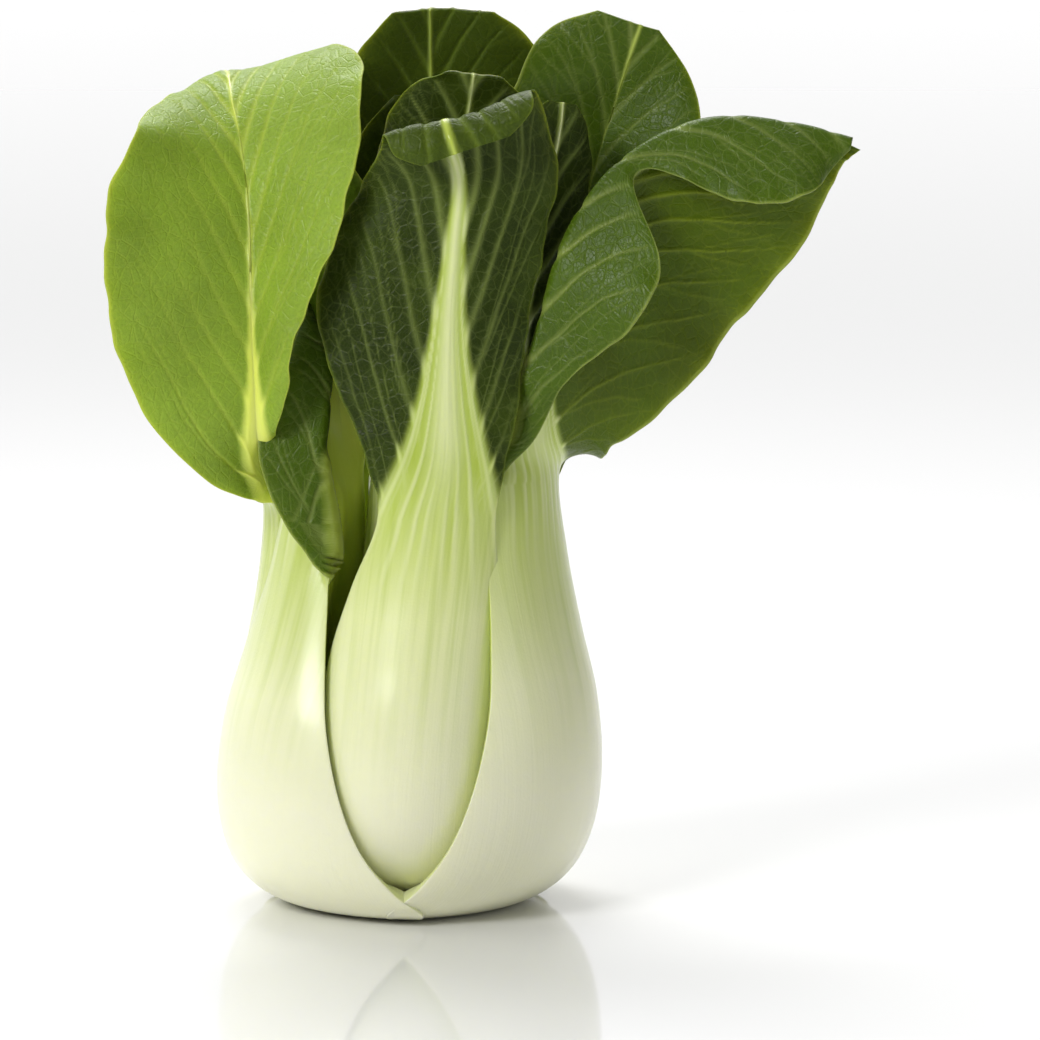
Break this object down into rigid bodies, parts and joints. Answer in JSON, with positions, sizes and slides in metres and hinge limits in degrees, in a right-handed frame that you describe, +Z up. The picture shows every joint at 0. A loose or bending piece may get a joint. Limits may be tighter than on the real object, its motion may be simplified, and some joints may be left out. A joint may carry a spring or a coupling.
{
  "type": "bok choy",
  "caption": "Whole head of green-stemmed bok choy standing on its trimmed base, with pale spoon-shaped stalks and broad green blades that splay and curl.",
  "frame": {"origin": "middle of the flat cut face under the stump, on the surface that the head stands on", "axes": "+Z up along the head; +X to the side that the longest leaf sweeps to; the broad curled leaf faces -Y"},
  "size_m": [0.1471, 0.075, 0.178],
  "materials": {
    "stump": "moist pale cream cut stem",
    "light_leaf": "satin yellow-green leaf on a cream stalk",
    "leaf": "satin mid-green leaf on a cream stalk",
    "dark_leaf": "satin dark-green leaf with pale veins on a cream stalk"
  },
  "bodies": {
    "root": {"stump": "stump", "leaf_left_outer": "leaf", "leaf_right_outer": "leaf", "leaf_front": "dark_leaf", "leaf_back_outer": "dark_leaf", "leaf_left_back": "light_leaf", "leaf_left_inner": "light_leaf", "leaf_right_back": "leaf", "leaf_right_inner": "dark_leaf", "leaf_front_inner": "dark_leaf", "leaf_back_inner": "dark_leaf", "heart_leaf_left": "light_leaf", "heart_leaf_right": "light_leaf"}
  },
  "joints": []
}
